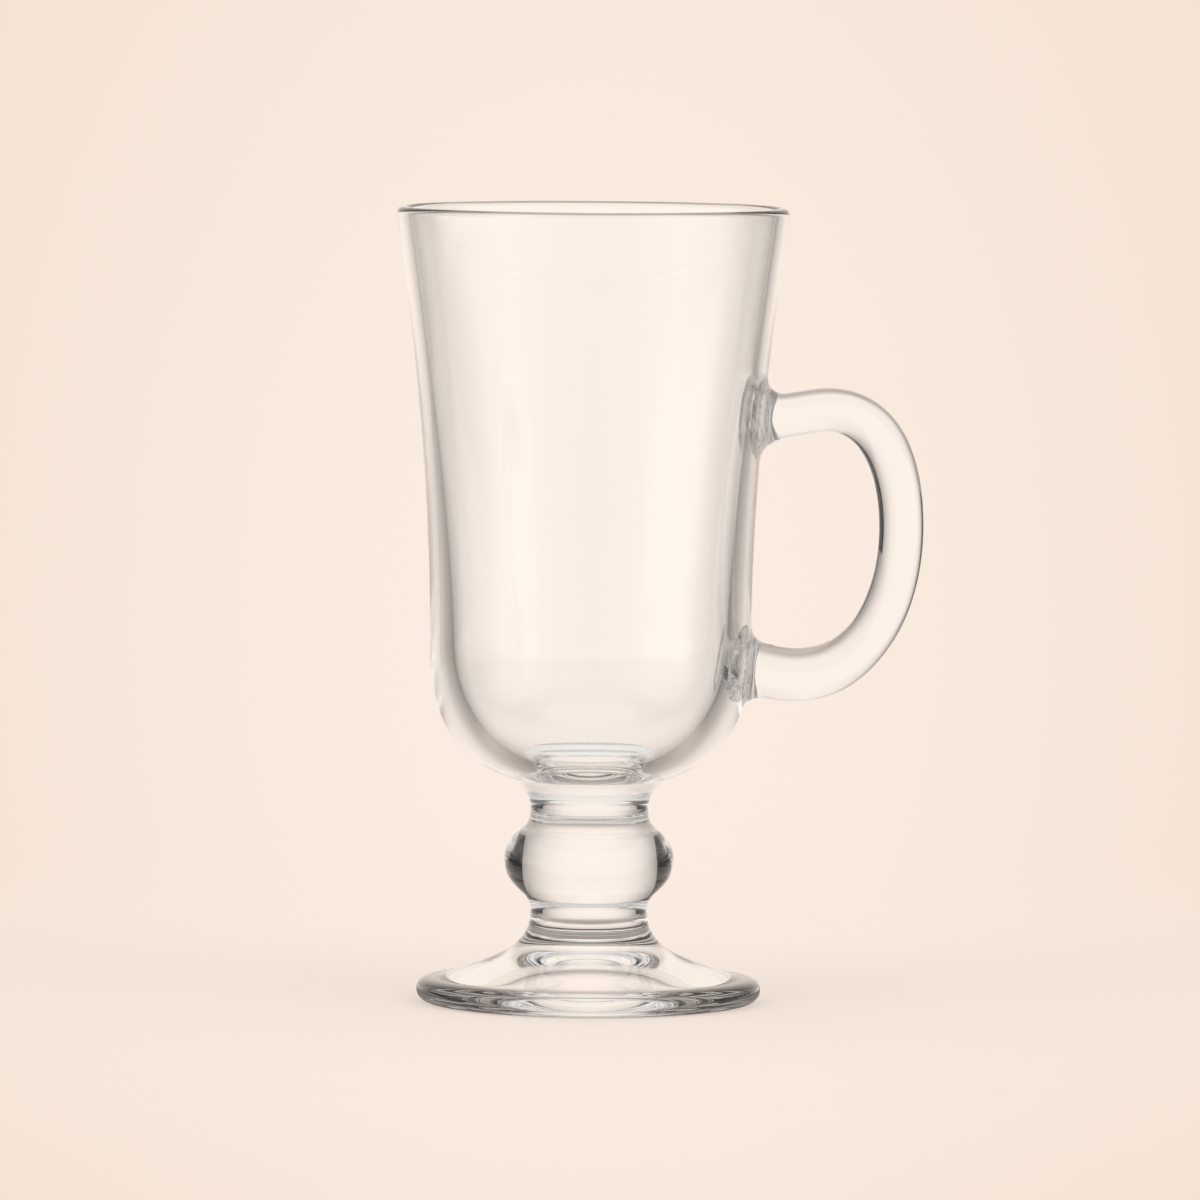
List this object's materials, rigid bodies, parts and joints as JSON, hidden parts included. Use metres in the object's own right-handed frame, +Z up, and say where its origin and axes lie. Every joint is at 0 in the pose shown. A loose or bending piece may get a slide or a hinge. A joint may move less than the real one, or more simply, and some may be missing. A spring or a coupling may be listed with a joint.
{
  "type": "irish coffee glass mug",
  "caption": "Clear glass Irish coffee mug: a tapering bowl with a rounded lip on a short stem with a round knop, a domed foot and a D-shaped side handle.",
  "frame": {"origin": "centre of the ring that the foot stands on, on the axis of the bowl and stem", "axes": "+Z up along the axis of the bowl and stem, +X towards the handle, -Y towards the viewer of the picture"},
  "size_m": [0.1011, 0.075, 0.1524],
  "materials": {
    "bowl_glass": "clear, fire polished",
    "stem_glass": "clear, fire polished",
    "foot_glass": "clear, fire polished",
    "handle_glass": "clear, fire polished"
  },
  "bodies": {
    "root": {"bowl": "bowl_glass", "upper_collar": "stem_glass", "knop": "stem_glass", "lower_collar": "stem_glass", "foot": "foot_glass", "handle": "handle_glass"}
  },
  "joints": []
}
